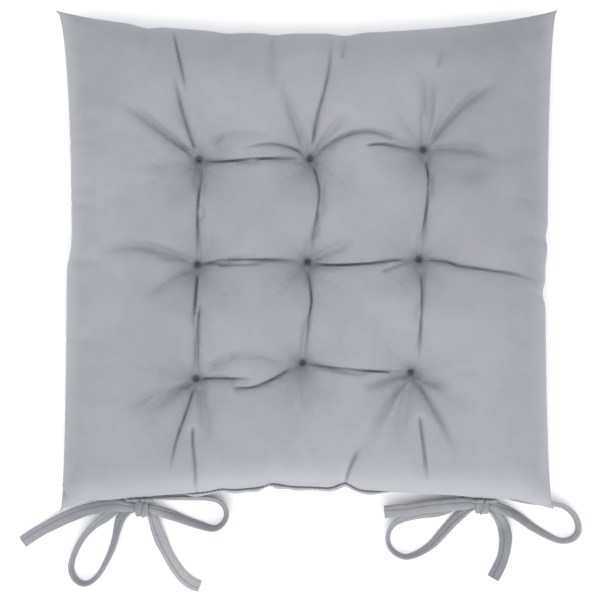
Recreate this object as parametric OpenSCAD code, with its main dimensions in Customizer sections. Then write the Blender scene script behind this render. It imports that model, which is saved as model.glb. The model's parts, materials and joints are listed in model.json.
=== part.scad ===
// Tufted chair seat pad, 40 x 40 cm, with two strap ties knotted in bows.
// Frame: +Z up, the origin on the surface the pad lies on, under the middle of the pad.
// The ties leave the -Y edge, which goes to the back of the chair. Millimetres throughout.

/* [Pad] */
// Width of the pad from corner to corner
pad_width = 400; // [360:5:450]
// Depth of the pad from corner to corner
pad_depth = 400; // [360:5:450]
// Height of the crowns between the tufts
pad_height = 64; // [56:1:76]
// Height of the perimeter seam
seam_height = 28; // [26:1:30]
// Thickness of the velvet cover cloth
cloth_thickness = 1.2; // [0.8:0.1:1.4]

/* [Tufts] */
// Distance between neighbouring tufts
tuft_pitch = 88; // [76:1:96]
// Share of the crown that a tuft pulls in
tuft_depth = 0.88; // [0.6:0.02:0.9]
// Diameter of the tufting thread
tuft_thread_diameter = 1; // [0.6:0.1:1.4]

/* [Ties] */
// Width of a strap laid flat
strap_width = 10; // [8:0.5:10]
// Thickness of a strap
strap_thickness = 2.4; // [1.8:0.1:2.4]
// Distance of the left knot from the middle of the pad
left_knot_x = 132; // [120:1:140]
// Distance of the right knot from the middle of the pad
right_knot_x = 141; // [120:1:145]

/* [Hidden] */

velvet = [0.66, 0.66, 0.69];
velvet_shade = [0.60, 0.60, 0.64];
thread_grey = [0.45, 0.45, 0.50];
wadding_white = [0.93, 0.93, 0.91];

// ---- Pad outline: each side is drawn in between its corners by the filling ----
// The left and right sides are drawn in by one amount in their front half and another in their rear half
pull_left = [14, 10];
pull_right = [8.5, 10.5];
pull_front = 19;
pull_rear = 18;
// Closing the turning gap by hand gathers the rear edge in further
gather_at = -15;
gather_depth = 3.5;
gather_reach = 50;
// The rear corners are blunt: how far in their tips lie
blunt_left = 3.4;
blunt_right = 3.6;
blunt_rear = 3.6; // at the right corner only

function drawn(s, deep, flare) = deep * pow(max(0, 1 - s * s), flare);
function front_share(v) = 1 / (1 + exp(-(v * pad_depth / 2 - 3) / 4));
function mixed(v, front, rear) = rear + (front - rear) * front_share(v);
function at_least(d, least) = pow(pow(d, 4) + pow(least, 4), 1 / 4);
function left_in(v) =
    at_least(mixed(v, drawn(v, pull_left[0], 0.45), drawn(v, pull_left[1], 0.2)), v < 0 ? blunt_left : 0);
function right_in(v) =
    at_least(mixed(v, drawn(v, pull_right[0], 0.5), drawn(v, pull_right[1], 0.22)), v < 0 ? blunt_right : 0);
function gathered(u) = gather_depth * exp(-pow((u * pad_width / 2 - gather_at) / gather_reach, 2));
function rear_in(u) = at_least(drawn(u, pull_rear, 0.5) + gathered(u), u > 0 ? blunt_rear : 0);
function half_x(u, v) = pad_width / 2 - (u < 0 ? left_in(v) : right_in(v));
function half_y(u, v) = pad_depth / 2 - (v < 0 ? rear_in(u) : drawn(u, pull_front, 0.8));

// ---- Grid over the pad: u and v run from -1 to 1, and a grid line passes through each tuft ----
half_cells = 13;
tuft_cell = 6;
tuft_u = tuft_pitch / (pad_width / 2 - (pull_left[0] + pull_left[1] + pull_right[0] + pull_right[1]) / 4);
tuft_v = tuft_pitch / (pad_depth / 2 - (pull_front + pull_rear) / 2);

function grid_share(i, at_tuft) =
    abs(i) <= tuft_cell ? i / tuft_cell * at_tuft
    : sign(i) * (at_tuft + (abs(i) - tuft_cell) / (half_cells - tuft_cell) * (1 - at_tuft));

// How far each hand-set tuft lies off the regular grid: rows rear, middle, front and columns left to right
tuft_shift = [
    [[2, -4], [-3, 6], [-6, 1]],
    [[2, -3], [1, -1], [1, 1]],
    [[2, -9], [3, -7], [3, -1]]
];
tuft_grip = 0.2; // reach of one tuft over its neighbourhood, in u and v
tuft_rows = [-1, 0, 1];
tufts = [for (row = tuft_rows) for (col = tuft_rows) [col, row]];

function near_tuft(u, v, t) =
    exp(-(pow(u - t[0] * tuft_u, 2) + pow(v - t[1] * tuft_v, 2)) / pow(tuft_grip, 2));
function shift_of(t) = tuft_shift[t[1] + 1][t[0] + 1];
function sum(list, i = 0) = i == len(list) - 1 ? list[i] : list[i] + sum(list, i + 1);
function plan(u, v) =
    [u * half_x(u, v), v * half_y(u, v)] + sum([for (t = tufts) near_tuft(u, v, t) * shift_of(t)]);

// ---- Heights: a pillow that the tufts draw in from both sides, flat where it rests ----
seam_gap = 0.7; // room between the two seam allowances for the thread
crown = pad_height - seam_height - seam_gap / 2;
belly = 1.3 * seam_height; // how deep the underside would hang if nothing held it up
belly_tuft = 0.8;          // share of the belly that a tuft draws up

function pillow(u, v) = sqrt((1 - pow(u, 4)) * (1 - pow(v, 4)));
cone_reach = 0.13;   // how far a tuft's hollow spreads, in u and v
valley_reach = 0.08; // half width of the valley between two tufts
valley_share = 0.3;  // depth of a valley against a tuft's
valley_fade = 0.11;  // how soon a valley dies out past the outer tufts

function tuft_distance(u, v, t) = norm([u - t[0] * tuft_u, v - t[1] * tuft_v]);
function cone(u, v) = exp(-pow(min([for (t = tufts) tuft_distance(u, v, t)]) / cone_reach, 1.2));
function across(d) = exp(-pow(d / valley_reach, 2));
function within(a, reach) = 1 / (1 + pow(max(0, abs(a) - reach) / valley_fade, 2));
function valley(u, v) = valley_share * max([
    for (k = tuft_rows)
        max(across(v - k * tuft_v) * within(u, tuft_u), across(u - k * tuft_u) * within(v, tuft_v))
]);
function dimple(u, v) = max(cone(u, v), valley(u, v));
function top_rise(u, v) = crown * pillow(u, v) * (1 - tuft_depth * dimple(u, v));
function belly_drop(u, v) =
    min(seam_height - seam_gap / 2, belly * pillow(u, v) * (1 - belly_tuft * dimple(u, v)));

// ---- Grids of points ----
function grid_uv(n) =
    [for (j = [-n:n]) for (i = [-n:n]) [grid_share(i, tuft_u), grid_share(j, tuft_v)]];
function lift(uv, z) = [for (i = [0:len(uv) - 1]) [plan(uv[i][0], uv[i][1])[0], plan(uv[i][0], uv[i][1])[1], z[i]]];

// Indices of the grid's border, counter-clockwise from the rear left corner
function border(n) = let (m = 2 * n + 1) concat(
    [for (i = [0:m - 2]) i],
    [for (j = [0:m - 2]) j * m + m - 1],
    [for (i = [m - 1:-1:1]) (m - 1) * m + i],
    [for (j = [m - 1:-1:1]) j * m]
);
function grid_faces(n, start, up) = let (m = 2 * n + 1) [
    for (j = [0:m - 2]) for (i = [0:m - 2]) for (half = [0, 1])
        let (
            a = start + j * m + i,
            b = a + 1,
            c = a + m + 1,
            d = a + m,
            slash = (i < n) == (j < n), // each cell's diagonal runs towards the nearest corner
            tri = slash ? (half == 0 ? [a, b, c] : [a, c, d]) : (half == 0 ? [a, b, d] : [b, c, d])
        )
        up ? [tri[2], tri[1], tri[0]] : tri
];
// A band of triangles between two rings of indices
function band(lower, upper) = [
    for (i = [0:len(lower) - 1]) for (half = [0, 1])
        let (k = (i + 1) % len(lower))
        half == 0 ? [lower[i], upper[i], upper[k]] : [lower[i], upper[k], lower[k]]
];
function flipped(faces) = [for (f = faces) [f[2], f[1], f[0]]];
function from(start, list) = [for (i = list) start + i];

// ---- Cover panels: a thin dish whose rim turns in as the seam allowance ----
allowance = 10; // width of the seam allowance
rim_inset = 2.6; // how far in the inner wall meets the allowance

function drawn_in(p, d) = [p[0] * (1 - 2 * d / pad_width), p[1] * (1 - 2 * d / pad_depth)];
function rim_share(uv) = pow(max(abs(uv[0]), abs(uv[1])), 8);
function inner_plan(uv) = drawn_in(plan(uv[0], uv[1]), rim_inset * rim_share(uv));

// side is 1 for the top panel and -1 for the bottom one
module cover_panel(side) {
    uv = grid_uv(half_cells);
    ring = border(half_cells);
    count = len(uv);
    seam_face = seam_height + side * seam_gap / 2;
    rise = [for (p = uv) side > 0 ? top_rise(p[0], p[1]) : belly_drop(p[0], p[1])];
    outer = lift(uv, [for (r = rise) seam_face + side * r]);
    inner = [
        for (i = [0:count - 1])
            let (p = inner_plan(uv[i]))
            [p[0], p[1], seam_face + side * max(cloth_thickness, rise[i] - cloth_thickness)]
    ];
    tip = [for (i = ring) drawn_in([outer[i][0], outer[i][1]], allowance)];
    tip_inside = [for (p = tip) [p[0], p[1], seam_face + side * cloth_thickness]];
    tip_seam = [for (p = tip) [p[0], p[1], seam_face]];
    outer_ring = ring;
    inner_ring = from(count, ring);
    inside_ring = [for (i = [0:len(ring) - 1]) 2 * count + i];
    seam_ring = [for (i = [0:len(ring) - 1]) 2 * count + len(ring) + i];
    faces = concat(
        grid_faces(half_cells, 0, true),
        grid_faces(half_cells, count, false),
        band(inner_ring, inside_ring),
        band(inside_ring, seam_ring),
        band(seam_ring, outer_ring)
    );
    color(side > 0 ? velvet : velvet_shade)
        polyhedron(concat(outer, inner, tip_inside, tip_seam), side > 0 ? faces : flipped(faces));
}

// ---- Filling: polyester wadding that follows both panels, short of the seam allowances ----
fill_clearance = 0.4;

module fibre_fill() {
    n = half_cells - 1;
    uv = [
        for (j = [-n:n]) for (i = [-n:n])
            [grid_share(i, tuft_u), grid_share(j, tuft_v)]
    ];
    skin = cloth_thickness + fill_clearance - seam_gap / 2;
    upper = [
        for (p = uv)
            [inner_plan(p)[0], inner_plan(p)[1], seam_height + top_rise(p[0], p[1]) - skin]
    ];
    lower = [
        for (p = uv)
            [inner_plan(p)[0], inner_plan(p)[1], seam_height - belly_drop(p[0], p[1]) + skin]
    ];
    ring = border(n);
    color(wadding_white) polyhedron(
        concat(upper, lower),
        concat(
            grid_faces(n, 0, true),
            grid_faces(n, len(uv), false),
            band(from(len(uv), ring), ring)
        )
    );
}

// ---- Perimeter seam ----
seam_thread = 0.5;
seam_thread_inset = 4;

function outline(inset) = [
    for (i = border(half_cells))
        let (p = grid_uv(half_cells)[i])
        drawn_in(plan(p[0], p[1]), inset)
];

module edge_seam_thread() {
    color(thread_grey)
        translate([0, 0, seam_height - seam_thread / 2])
            linear_extrude(height = seam_thread)
                difference() {
                    polygon(outline(seam_thread_inset));
                    polygon(outline(seam_thread_inset + seam_thread));
                }
}

// The rear edge is left open for turning and filling, then sewn shut with a row of short stitches
gap_from = -95;
gap_to = 65;
stitch_length = 4.5;
stitch_pitch = 6.4;
stitch_inset = 1;

function rear_edge(x) = -half_y(2 * x / pad_width, -1);

module closing_stitches() {
    count = floor((gap_to - gap_from) / stitch_pitch);
    color(thread_grey)
        for (i = [0:count - 1])
            let (
                x = gap_from + i * stitch_pitch,
                rise = rear_edge(x + stitch_length) - rear_edge(x)
            )
            translate([x, rear_edge(x) + stitch_inset, seam_height])
                rotate([0, 90, atan2(rise, stitch_length)])
                    cylinder(h = stitch_length, d = seam_thread, $fn = 16);
}

// ---- Tufts: one thread loop through the pad at each, knotted underneath ----
leg_spread = 1.6;  // half the distance between the two legs of the loop
bar_diameter = 1.4;
tuft_knot_radius = 1.5;
tuft_knot_height = 2.2;

module tuft_thread(col, row) {
    u = col * tuft_u;
    v = row * tuft_v;
    place = plan(u, v);
    top = seam_height + seam_gap / 2 + top_rise(u, v) + bar_diameter / 2;
    bottom = seam_height - seam_gap / 2 - belly_drop(u, v) - bar_diameter / 2;
    color(thread_grey)
        translate([place[0], place[1], 0])
            union() {
                for (side = [-1, 1])
                    translate([side * leg_spread, 0, bottom])
                        cylinder(h = top - bottom, d = tuft_thread_diameter, $fn = 24);
                for (z = [bottom, top])
                    translate([-leg_spread - 1, 0, z])
                        rotate([0, 90, 0])
                            cylinder(h = 2 * leg_spread + 2, d = bar_diameter, $fn = 24);
                translate([0, 0, bottom - tuft_knot_height])
                    cylinder(h = tuft_knot_height, r = tuft_knot_radius, $fn = 24);
            }
}

// ---- Ties: where the straps are caught in the seam ----
strap_gap = 1;      // between the two straps of a tie at the seam
tab_thickness = 0.5;  // the strap is pressed flat between the seam allowances
tab_depth = 9;
left_knot_out = 10.7; // the middle of each knot, outside the edge
right_knot_out = 7.6;

module sewn_ends(x) {
    color(velvet_shade)
        for (side = [-1, 1])
            translate([
                x + side * (strap_width + strap_gap) / 2 - strap_width / 2,
                rear_edge(x),
                seam_height - tab_thickness / 2
            ])
                cube([strap_width, tab_depth, tab_thickness]);
}

// ---- Ties: flat straps swept along their routes ----
// Route rows are [x, y, z, lean, squeeze], with x and y from the middle of the knot. Lean is the
// angle of the strap's width from level, and squeeze narrows the strap where the knot grips it.
left_outer_route = [
    [-8, 8.1, 8.5, -90, 0.8], [-12.5, 7, 5.6, -80, 0.9], [-19, 1.5, 4.8, -45, 1],
    [-29, -8, 4.8, -42, 1], [-38.5, -14.5, 5, -55, 1], [-47.5, -24.5, 5.3, -65, 1],
    [-53.8, -36.8, 5.4, -70, 1], [-56.5, -49, 5.4, -70, 1], [-52.8, -57.5, 5.4, -70, 1],
    [-45.3, -61, 5.4, -70, 1], [-37, -56.5, 5.4, -70, 1], [-29, -44.5, 5.3, -64, 1],
    [-23, -30.5, 5, -58, 1], [-20, -18.3, 4.7, -50, 1], [-17.2, -9, 4.4, -25, 0.85],
    [-12, -3.2, 4.4, -5, 0.7], [-5.5, -0.6, 4.6, 0, 0.6], [0, -0.4, 4.6, 0, 0.6],
    [4.6, -1.7, 4.5, 0, 0.6], [8, -5.8, 4.2, 0, 0.75], [11.2, -15.5, 3.2, 8, 0.95],
    [16.5, -29, 2.4, 4, 1], [23.5, -42.5, 1.8, 0, 1], [31.5, -54, 1.6, 0, 1],
    [39, -60.5, 1.5, 0, 1], [46.5, -63.5, 1.5, 0, 1]
];
left_inner_route = [
    [8.5, 8.1, 8.5, 90, 0.8], [13.5, 7.8, 5.8, 88, 0.9], [21, 7.4, 5.4, 80, 1],
    [36.5, 7.4, 5.4, 75, 1], [51.8, 7.4, 5.4, 72, 1], [61.8, 5, 5.4, 70, 1],
    [67.2, -0.8, 5.4, 70, 1], [67.8, -7.6, 5.4, 70, 1], [64, -13.8, 5.4, 70, 1],
    [57, -16.6, 5.3, 65, 1], [44.2, -13.2, 5, 55, 1], [28.7, -7.5, 5.4, 45, 1],
    [16, -3.2, 7.2, 25, 0.85], [8.5, -0.8, 8.6, 5, 0.7], [0, 0, 8.7, 0, 0.6],
    [-7, 0.8, 9.2, 0, 0.7], [-12.5, 1.1, 10.8, 0, 0.9], [-20, 2.4, 11.9, 0, 1],
    [-30, 1.4, 11.8, 0, 1], [-44.6, -1.6, 9.8, 0, 1], [-60, -7.6, 6.4, 0, 1],
    [-75, -15, 3.3, 0, 1], [-87, -21.8, 1.8, 0, 1], [-96, -28, 1.5, 0, 1]
];
right_outer_route = [
    [8.5, 8.1, 8.5, 90, 0.8], [13, 7.6, 5.9, 88, 0.9], [19, 6, 5.5, 84, 1],
    [37.7, 2, 5.4, 75, 1], [57.7, 0.4, 5.4, 70, 1], [67, -2, 5.4, 70, 1],
    [73.8, -8, 5.4, 70, 1], [77, -15, 5.4, 70, 1], [77, -21.8, 5.4, 70, 1],
    [73, -27, 5.4, 70, 1], [65.5, -29, 5.4, 70, 1], [57, -26.8, 5.2, 62, 1],
    [41, -18, 5, 50, 1], [27, -8.2, 5.4, 45, 1], [16, -3.2, 7.2, 25, 0.85],
    [8.5, -0.6, 8.6, 5, 0.7], [0, 0, 8.7, 0, 0.6], [-7, 1, 9.2, 0, 0.7],
    [-12.5, 1.3, 10.4, 0, 0.9], [-22.6, 0.7, 11.4, 0, 1], [-34, -0.3, 11.3, 0, 1],
    [-46, -1.6, 11.2, 0, 1], [-58, -3.4, 11.1, 0, 1], [-69, -4.6, 10.6, 0, 1], [-78.5, -5.4, 9.6, 0, 1]
];
right_inner_route = [
    [-8, 8.1, 8.5, -90, 0.8], [-12.5, 7, 5.8, -80, 0.9], [-20, 0.5, 4.8, -45, 1],
    [-33, -5.6, 4.8, -42, 1], [-49.2, -8, 4.9, -48, 1], [-62.5, -11.5, 5.1, -58, 1],
    [-71.5, -16.8, 5.3, -66, 1], [-75.5, -25.3, 5.4, -70, 1], [-74.2, -33.5, 5.4, -70, 1],
    [-68.5, -39.2, 5.4, -70, 1], [-61, -41.6, 5.4, -70, 1], [-51.5, -39, 5.3, -64, 1],
    [-41.3, -32.8, 5, -56, 1], [-32, -23, 4.8, -48, 1], [-22.6, -13, 4.6, -38, 0.95],
    [-14.6, -6.2, 4.4, -15, 0.75], [-7, -1.6, 4.5, 0, 0.6], [0, -0.4, 4.6, 0, 0.6],
    [5.2, -2.2, 4.5, 0, 0.6], [11, -7, 4.2, 4, 0.75], [16.6, -15.4, 3.4, 12, 0.95],
    [19.2, -25.5, 2.9, 12, 1], [18.6, -36, 2.5, 9, 1], [16.4, -44.8, 2.1, 5, 1],
    [13, -52.6, 1.7, 0, 1], [9.2, -59.3, 1.5, 0, 1]
];
// Both straps of a tie drop from 3 mm outside the seam's edge in the same way, one on each side of the knot
left_drop = [[7.7, 28], [7.8, 25], [8, 20], [8.3, 14]];
right_drop = [[4.6, 28], [4.9, 25], [5.6, 20], [7.1, 14]];
steps_per_row = 2;

function unit(v) = v / norm(v);
function spline(a, b, c, d, t) =
    0.5 * (2 * b + (c - a) * t + (2 * a - 5 * b + 4 * c - d) * t * t + (3 * b - 3 * c + d - a) * t * t * t);
function clamped(list, i) = list[max(0, min(len(list) - 1, i))];

// Control rows [x, y, z, width direction, squeeze]: first the drop, then the route
function along(route, i) = unit(
    [for (k = [0:2]) clamped(route, i + 1)[k] - clamped(route, i - 1)[k]]
);
function leaning(t, lean) =
    let (level = unit([-t[1], t[0], 0])) cos(lean) * level + sin(lean) * [0, 0, 1];
function control_rows(drop, route, side) = concat(
    [for (d = drop) [side * (strap_width + strap_gap) / 2, d[0], d[1], 1, 0, 0, 1]],
    [
        for (i = [0:len(route) - 1])
            let (w = leaning(along(route, i), route[i][3]))
            [route[i][0], route[i][1], route[i][2], w[0], w[1], w[2], route[i][4]]
    ]
);
function sampled(rows) = concat(
    [
        for (i = [0:len(rows) - 2]) for (k = [0:steps_per_row - 1])
            spline(
                clamped(rows, i - 1), rows[i], rows[i + 1], clamped(rows, i + 2), k / steps_per_row
            )
    ],
    [rows[len(rows) - 1]]
);
// Half of the strap's section, as [across, through] corners of a flattened octagon
function section(squeeze) =
    let (
        a = strap_width * squeeze / 2,
        b = strap_thickness / sqrt(squeeze) / 2,
        r = b * 0.6
    )
    [[a, b - r], [a - r, b], [r - a, b], [-a, b - r], [-a, r - b], [r - a, -b], [a - r, -b], [a, r - b]];
function strap_ring(points, i) =
    let (
        row = points[i],
        p = [row[0], row[1], row[2]],
        t = along(points, i),
        aim = [row[3], row[4], row[5]],
        w = unit(aim - (aim * t) * t),
        n = cross(t, w)
    )
    [for (c = section(row[6])) p + c[0] * w + c[1] * n];

module strap(drop, route, side) {
    points = sampled(control_rows(drop, route, side));
    last = len(points) - 1;
    rings = [for (i = [0:last]) strap_ring(points, i)];
    corners = 8;
    faces = concat(
        [[for (c = [0:corners - 1]) c]],
        [
            for (i = [0:last - 1]) for (c = [0:corners - 1]) for (half = [0, 1])
                let (
                    a = i * corners + c,
                    b = i * corners + (c + 1) % corners
                )
                half == 0 ? [a, a + corners, b + corners] : [a, b + corners, b]
        ],
        [[for (c = [corners - 1:-1:0]) last * corners + c]]
    );
    polyhedron([for (ring = rings) for (p = ring) p], faces);
}

function knot_place(x) = [x, rear_edge(x) - (x < 0 ? left_knot_out : right_knot_out), 0];

module tie_strap(x, route, side) {
    color(velvet) translate(knot_place(x)) strap(x < 0 ? left_drop : right_drop, route, side);
}

// ---- Knot: the turn of strap that binds both straps together ----
knot_width = 10;
knot_height = 12.5;
knot_depth = 13.4;
knot_wall = 2.2;
knot_clear = 0.4; // under the knot

function oval(w, h) = [
    for (i = [0:35])
        let (a = i * 10)
        [sign(cos(a)) * pow(abs(cos(a)), 0.7) * w / 2, sign(sin(a)) * pow(abs(sin(a)), 0.7) * h / 2]
];

module bow_knot(x) {
    color(velvet_shade)
        translate(knot_place(x) + [-knot_width / 2, 0, knot_clear + knot_height / 2])
            rotate([90, 0, 90])
                linear_extrude(height = knot_width)
                    difference() {
                        polygon(oval(knot_depth, knot_height));
                        polygon(oval(knot_depth - 2 * knot_wall, knot_height - 2 * knot_wall));
                    }
}

cover_panel(1);  // top_cover_panel
cover_panel(-1);  // bottom_cover_panel
fibre_fill();
edge_seam_thread();
closing_stitches();
tuft_thread(-1, 1);  // tuft_thread_front_left
tuft_thread(0, 1);  // tuft_thread_front_centre
tuft_thread(1, 1);  // tuft_thread_front_right
tuft_thread(-1, 0);  // tuft_thread_middle_left
tuft_thread(0, 0);  // tuft_thread_middle_centre
tuft_thread(1, 0);  // tuft_thread_middle_right
tuft_thread(-1, -1);  // tuft_thread_rear_left
tuft_thread(0, -1);  // tuft_thread_rear_centre
tuft_thread(1, -1);  // tuft_thread_rear_right
sewn_ends(-left_knot_x);  // left_tie_sewn_ends
sewn_ends(right_knot_x);  // right_tie_sewn_ends
tie_strap(-left_knot_x, left_outer_route, -1);  // left_tie_outer_strap
tie_strap(-left_knot_x, left_inner_route, 1);  // left_tie_inner_strap
bow_knot(-left_knot_x);  // left_bow_knot
tie_strap(right_knot_x, right_outer_route, 1);  // right_tie_outer_strap
tie_strap(right_knot_x, right_inner_route, -1);  // right_tie_inner_strap
bow_knot(right_knot_x);  // right_bow_knot
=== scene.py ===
"""Tufted velvet chair pad with two strap ties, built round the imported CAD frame."""

import json
import math

import bpy
import numpy as np
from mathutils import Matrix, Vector


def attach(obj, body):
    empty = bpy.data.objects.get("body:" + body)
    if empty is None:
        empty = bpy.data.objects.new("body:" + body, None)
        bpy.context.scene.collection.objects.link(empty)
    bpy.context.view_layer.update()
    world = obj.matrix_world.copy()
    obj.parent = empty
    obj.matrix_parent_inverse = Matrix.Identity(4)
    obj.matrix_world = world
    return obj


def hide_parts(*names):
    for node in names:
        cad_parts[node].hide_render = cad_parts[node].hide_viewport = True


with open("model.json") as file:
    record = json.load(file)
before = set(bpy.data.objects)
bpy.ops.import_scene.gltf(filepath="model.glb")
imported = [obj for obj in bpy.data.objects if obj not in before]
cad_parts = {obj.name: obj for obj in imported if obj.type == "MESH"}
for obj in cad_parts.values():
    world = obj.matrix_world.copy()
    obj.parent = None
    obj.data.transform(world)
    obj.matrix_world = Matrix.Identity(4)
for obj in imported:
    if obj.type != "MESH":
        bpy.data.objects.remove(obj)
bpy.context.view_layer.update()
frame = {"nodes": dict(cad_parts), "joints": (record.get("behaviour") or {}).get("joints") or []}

# The pad, ties and threads are worked out in millimetres; the camera, floor and light are in metres
MM = 0.001


# ---------------------------------------------------------------- camera
CAMERA_DISTANCE = 1.4
CAMERA_ELEVATION = math.radians(88.5)
CAMERA_TARGET = Vector((-0.005, -0.031, 0.028))
LENS_MM = 106
SENSOR_MM = 36


def add_camera():
    data = bpy.data.cameras.new("camera")
    data.lens = LENS_MM
    data.sensor_width = SENSOR_MM
    camera = bpy.data.objects.new("camera", data)
    away = Vector((0, -math.cos(CAMERA_ELEVATION), math.sin(CAMERA_ELEVATION)))
    camera.location = CAMERA_TARGET + away * CAMERA_DISTANCE
    camera.rotation_euler = (-away).to_track_quat("-Z", "Y").to_euler()
    bpy.context.scene.collection.objects.link(camera)
    bpy.context.scene.camera = camera


add_camera()


# ---------------------------------------------------------------- lines and numbers
def unit(v):
    return v / np.maximum(np.linalg.norm(v, axis=-1, keepdims=True), 1e-12)


def bell(distance, width):
    """A smooth bump: 1 in its middle and 0.37 at its width."""
    return np.exp(-((distance / width) ** 2))


def curve_between(a, b, c, d, t):
    """The Catmull-Rom curve from b at t = 0 to c at t = 1, whose neighbours are a and d."""
    return 0.5 * (2 * b + (c - a) * t + (2 * a - 5 * b + 4 * c - d) * t**2 + (3 * b - 3 * c + d - a) * t**3)


def curve_through(p, step):
    """Points about a step apart on the curve through p, whose two outer points only steer its ends."""
    out = []
    for a, b, c, d in zip(p, p[1:], p[2:], p[3:]):
        count = max(2, int(np.linalg.norm((c - b)[:3]) / step))
        out.append(curve_between(a, b, c, d, np.linspace(0, 1, count, endpoint=False)[:, None]))
    out.append(p[-2:-1])
    return np.concatenate(out)


def run_along(points):
    """How far along the line through the points each of them lies."""
    return np.concatenate([[0], np.cumsum(np.linalg.norm(np.diff(points, axis=0), axis=1))])


def smooth_noise(length, pitch, seed):
    """A smooth random line of values of about unit size."""
    source = np.random.default_rng(seed).normal(size=int(length / pitch) + 6)
    t = np.linspace(0, len(source) - 4, max(2, int(length)))
    i = t.astype(int)
    a, b, c, d = source[i], source[i + 1], source[i + 2], source[np.minimum(i + 3, len(source) - 1)]
    return curve_between(a, b, c, d, t - i)


def border(grid):
    """The outer ring of a grid, once round."""
    return np.concatenate([grid[0, :-1], grid[:-1, -1], grid[-1, :0:-1], grid[:0:-1, 0]])


# ---------------------------------------------------------------- meshes
def new_piece(name, vertices, faces, body, material):
    mesh = bpy.data.meshes.new(name)
    mesh.from_pydata(np.asarray(vertices, dtype=float).tolist(), [], faces)
    mesh.update()
    mesh.polygons.foreach_set("use_smooth", [True] * len(mesh.polygons))
    mesh.materials.append(material)
    piece = bpy.data.objects.new(name, mesh)
    bpy.context.scene.collection.objects.link(piece)
    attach(piece, body)
    return piece


def point_layer(piece, name, values):
    """One value at each vertex, read by the material of the same piece."""
    layer = piece.data.attributes.new(name, "FLOAT", "POINT")
    layer.data.foreach_set("value", np.asarray(values, np.float32))


def joined(parts):
    """Several parts, each of vertices and faces, as one."""
    faces, start = [], 0
    for vertices, part_faces in parts:
        faces += [tuple(i + start for i in face) for face in part_faces]
        start += len(vertices)
    return np.concatenate([vertices for vertices, _ in parts]), faces


def grid_faces(n, start=0, flip=False):
    """Faces of a square grid of n by n points."""
    faces = []
    for j in range(n - 1):
        for i in range(n - 1):
            a = start + j * n + i
            quad = (a, a + 1, a + n + 1, a + n)
            faces.append(quad[::-1] if flip else quad)
    return faces


def tube_faces(rings, sides):
    """Faces of a tube, ring by ring, with a cap at each end."""
    faces = []
    for i in range(rings - 1):
        for k in range(sides):
            a = i * sides + k
            b = i * sides + (k + 1) % sides
            faces.append((a, a + sides, b + sides, b))
    last = (rings - 1) * sides
    return faces + [tuple(range(sides)), tuple(last + k for k in reversed(range(sides)))]


def ring_across(along, level, steep, sides):
    """Two directions across a line and a unit ring on them, set by level, or by steep on an upright line."""
    side = unit(np.cross(along, level if abs(along[2]) < 0.9 else steep))
    up = np.cross(side, along)
    turns = np.linspace(0, 2 * math.pi, sides, endpoint=False)
    return side, up, np.cos(turns)[:, None] * side + np.sin(turns)[:, None] * up


# The rings of a short thread: at which end, how far past it and how wide, in its radius
STITCH_RINGS = [(0, -0.9, 0.35), (0, -0.3, 0.85), (0, 0.6, 1), (1, -0.6, 1), (1, 0.3, 0.85), (1, 0.9, 0.35)]


def stitch(a, b, radius, sides):
    """A short thread from a to b with rounded ends, as vertices and faces."""
    along = unit(b - a)
    _, _, ring = ring_across(along, [0.3, 0.2, 1.0], [1.0, 0, 0], sides)
    rings = [(a, b)[end] + along * past * radius + ring * wide * radius for end, past, wide in STITCH_RINGS]
    return np.concatenate(rings), tube_faces(len(rings), sides)


def stitches_piece(name, segments, radius, sides, body, material):
    vertices, faces = joined([stitch(a, b, radius, sides) for a, b in segments])
    return new_piece(name, vertices, faces, body, material)


# ---------------------------------------------------------------- materials
def node_material(name):
    """A new material, its nodes, its shader and the place on the piece."""
    material = bpy.data.materials.new(name)
    material.use_nodes = True
    tree = material.node_tree
    place = tree.nodes.new("ShaderNodeTexCoord").outputs["Object"]
    return material, tree, tree.nodes["Principled BSDF"], place


def set_inputs(node, **inputs):
    for key, value in inputs.items():
        node.inputs[key.replace("_", " ")].default_value = value


def add(tree, kind, vector=None, **inputs):
    """A node with some of its inputs set, and its vector linked if one is given."""
    node = tree.nodes.new(kind)
    set_inputs(node, **inputs)
    if vector is not None:
        tree.links.new(vector, node.inputs["Vector"])
    return node


def noise(tree, vector, scale, detail, roughness, distortion=0.0):
    inputs = {"Scale": scale, "Detail": detail, "Roughness": roughness, "Distortion": distortion}
    return add(tree, "ShaderNodeTexNoise", vector, **inputs).outputs["Fac"]


def ranged(tree, value, **inputs):
    node = add(tree, "ShaderNodeMapRange", **inputs)
    tree.links.new(value, node.inputs["Value"])
    return node.outputs["Result"]


def mixed_colour(tree, factor, a, b):
    """A mix of two colours, each given as three numbers or as a socket."""
    node = tree.nodes.new("ShaderNodeMix")
    node.data_type = "RGBA"
    tree.links.new(factor, node.inputs["Factor"])
    for key, colour in (("A", a), ("B", b)):
        if isinstance(colour, bpy.types.NodeSocket):
            tree.links.new(colour, node.inputs[key])
        else:
            node.inputs[key].default_value = (*colour, 1)
    return node.outputs["Result"]


def layer_value(tree, name):
    node = tree.nodes.new("ShaderNodeAttribute")
    node.attribute_name = name
    return node.outputs["Fac"]


def bump(tree, height, strength, distance, normal=None):
    node = add(tree, "ShaderNodeBump", Strength=strength, Distance=distance)
    tree.links.new(height, node.inputs["Height"])
    if normal is not None:
        tree.links.new(normal, node.inputs["Normal"])
    return node.outputs["Normal"]


def tinted(colour, red, green, blue):
    return (red * colour[0], green * colour[1], blue * colour[2])


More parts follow.
